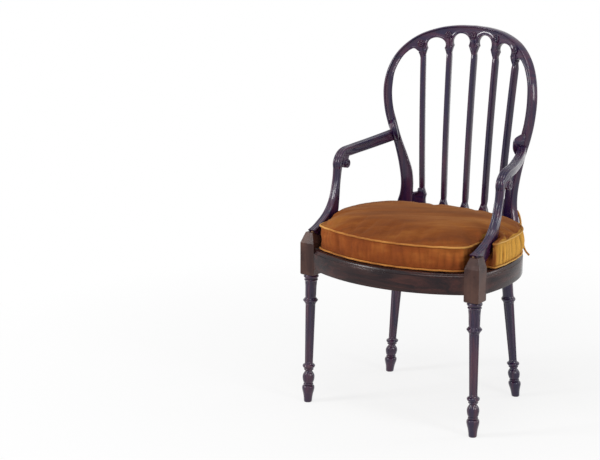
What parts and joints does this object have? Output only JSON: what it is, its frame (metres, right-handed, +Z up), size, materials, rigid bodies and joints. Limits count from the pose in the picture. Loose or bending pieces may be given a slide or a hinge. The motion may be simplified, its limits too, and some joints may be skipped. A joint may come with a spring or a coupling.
{
  "type": "open armchair",
  "caption": "Open armchair with a round hoop back, upright bars, turned tapering legs, scrolled arms and a loose piped squab cushion tied to the back.",
  "frame": {"origin": "on the floor under the middle of the chair's box", "axes": "+Z up, -Y towards the chair's front, +X towards the chair's left-hand arm as a sitter looks out, which is the right side when seen from the front"},
  "size_m": [0.536, 0.5112, 0.954],
  "materials": {
    "mahogany": "dark stained and polished",
    "beech": "plain, unpolished",
    "iron": "dull",
    "velvet": "short pile",
    "cane": "split cane, woven"
  },
  "bodies": {
    "root": {"front_leg_left": "mahogany", "rear_post_left": "mahogany", "side_rail_left": "mahogany", "arm_left": "mahogany", "arm_support_left": "mahogany", "screw_plug_left": "mahogany", "support_dowel_left": "beech", "knuckle_dowel_left": "beech", "arm_screw_left": "iron", "cushion_tie_left": "velvet", "tie_tail_left_outer": "velvet", "tie_tail_left_rear": "velvet", "front_leg_right": "mahogany", "rear_post_right": "mahogany", "side_rail_right": "mahogany", "arm_right": "mahogany", "arm_support_right": "mahogany", "screw_plug_right": "mahogany", "support_dowel_right": "beech", "knuckle_dowel_right": "beech", "arm_screw_right": "iron", "cushion_tie_right": "velvet", "tie_tail_right_outer": "velvet", "tie_tail_right_rear": "velvet", "front_rail": "mahogany", "rear_rail": "mahogany", "crest_rail": "mahogany", "lower_back_rail": "mahogany", "back_bar_1": "mahogany", "back_bar_2": "mahogany", "back_bar_3": "mahogany", "back_bar_4": "mahogany", "back_bar_5": "mahogany", "corner_block_front_left": "beech", "block_screw_front_left_1": "iron", "block_screw_front_left_2": "iron", "corner_block_front_right": "beech", "block_screw_front_right_1": "iron", "block_screw_front_right_2": "iron", "corner_block_rear_left": "beech", "block_screw_rear_left_1": "iron", "block_screw_rear_left_2": "iron", "corner_block_rear_right": "beech", "block_screw_rear_right_1": "iron", "block_screw_rear_right_2": "iron", "cane_seat": "cane", "squab_cushion": "velvet"}
  },
  "joints": []
}
